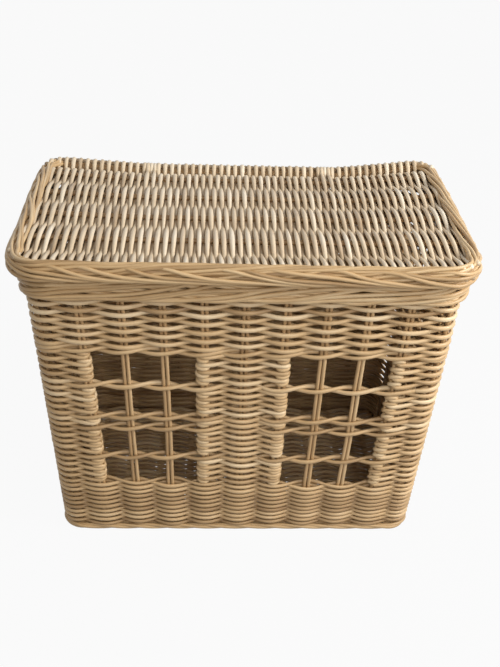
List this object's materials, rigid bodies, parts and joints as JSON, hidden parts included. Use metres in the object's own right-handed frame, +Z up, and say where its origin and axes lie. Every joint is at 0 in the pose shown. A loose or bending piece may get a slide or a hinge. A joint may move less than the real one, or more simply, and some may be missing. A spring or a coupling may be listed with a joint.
{
  "type": "rattan storage box",
  "caption": "Tapering woven rattan box with barred front windows and a flat woven lid that is hinged at the back by cane loops, for storing household things.",
  "frame": {"origin": "on the floor under the middle of the closed box", "axes": "+Z up, +X to the right seen from the front, the windowed front faces -Y"},
  "size_m": [0.44, 0.276, 0.3253],
  "materials": {
    "wall_weave": "natural rattan core, woven, satin",
    "lid_weave": "natural rattan core, woven, pale, satin",
    "stake": "natural rattan core, satin",
    "border": "natural rattan core, plaited, satin",
    "lid_border": "natural rattan core, plaited, satin",
    "cane": "natural rattan core, wound, satin"
  },
  "bodies": {
    "box": {"floor_weave": "wall_weave", "lower_weave_band": "wall_weave", "window_surround": "wall_weave", "window_pier": "wall_weave", "upper_weave_band": "wall_weave", "foot_rim": "border", "rim_border": "border", "front_stake_1": "stake", "front_stake_2": "stake", "front_stake_3": "stake", "front_stake_4": "stake", "front_stake_5": "stake", "front_stake_6": "stake", "front_stake_7": "stake", "front_stake_8": "stake", "front_stake_9": "stake", "back_stake_1": "stake", "back_stake_2": "stake", "back_stake_3": "stake", "back_stake_4": "stake", "back_stake_5": "stake", "back_stake_6": "stake", "back_stake_7": "stake", "back_stake_8": "stake", "back_stake_9": "stake", "left_stake_1": "stake", "left_stake_2": "stake", "left_stake_3": "stake", "left_stake_4": "stake", "left_stake_5": "stake", "right_stake_1": "stake", "right_stake_2": "stake", "right_stake_3": "stake", "right_stake_4": "stake", "right_stake_5": "stake", "corner_stake_front_left": "stake", "corner_stake_front_right": "stake", "corner_stake_back_left": "stake", "corner_stake_back_right": "stake", "left_window_crossbar_1": "stake", "left_window_crossbar_2": "stake", "left_window_crossbar_3": "stake", "left_window_crossbar_4": "stake", "right_window_crossbar_1": "stake", "right_window_crossbar_2": "stake", "right_window_crossbar_3": "stake", "right_window_crossbar_4": "stake", "hinge_loop_left": "cane", "hinge_loop_right": "cane"},
    "lid": {"lid_weave": "lid_weave", "lid_border": "lid_border", "lid_frame": "stake", "lid_stake_1": "stake", "lid_stake_2": "stake", "lid_stake_3": "stake", "lid_stake_4": "stake"}
  },
  "joints": [
    {"name": "lid_hinge", "type": "hinge", "parent": "box", "child": "lid", "pos_m": [0, 0.1299, 0.3143], "axis": [-1, 0, 0], "range_deg": [0, 100]}
  ]
}
